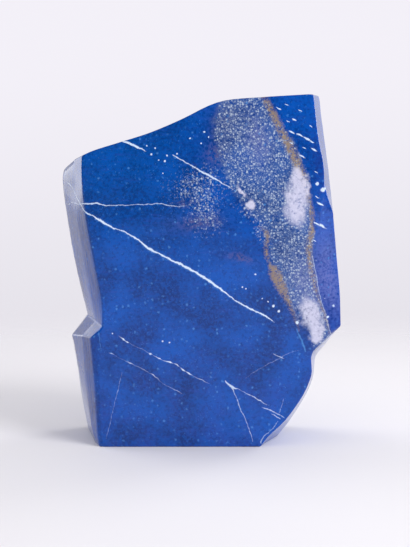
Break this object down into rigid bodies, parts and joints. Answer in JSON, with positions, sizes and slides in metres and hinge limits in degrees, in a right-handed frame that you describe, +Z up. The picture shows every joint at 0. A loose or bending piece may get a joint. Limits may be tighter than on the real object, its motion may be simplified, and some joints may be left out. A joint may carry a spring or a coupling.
{
  "type": "polished lapis lazuli freeform",
  "caption": "Upright block of polished lapis lazuli with a broad flat front, a notch in each side, a sloping top and a flat cut base that it stands on.",
  "frame": {"origin": "on the floor under the middle of the stone's box, inside the flat cut base", "axes": "+Z up along the stone's height, -Y the way the broad flat front faces, +X to the right seen from the front"},
  "size_m": [0.1214, 0.048, 0.15],
  "materials": {
    "lapis": "polished"
  },
  "bodies": {
    "root": {"lapis_stone": "lapis"}
  },
  "joints": []
}
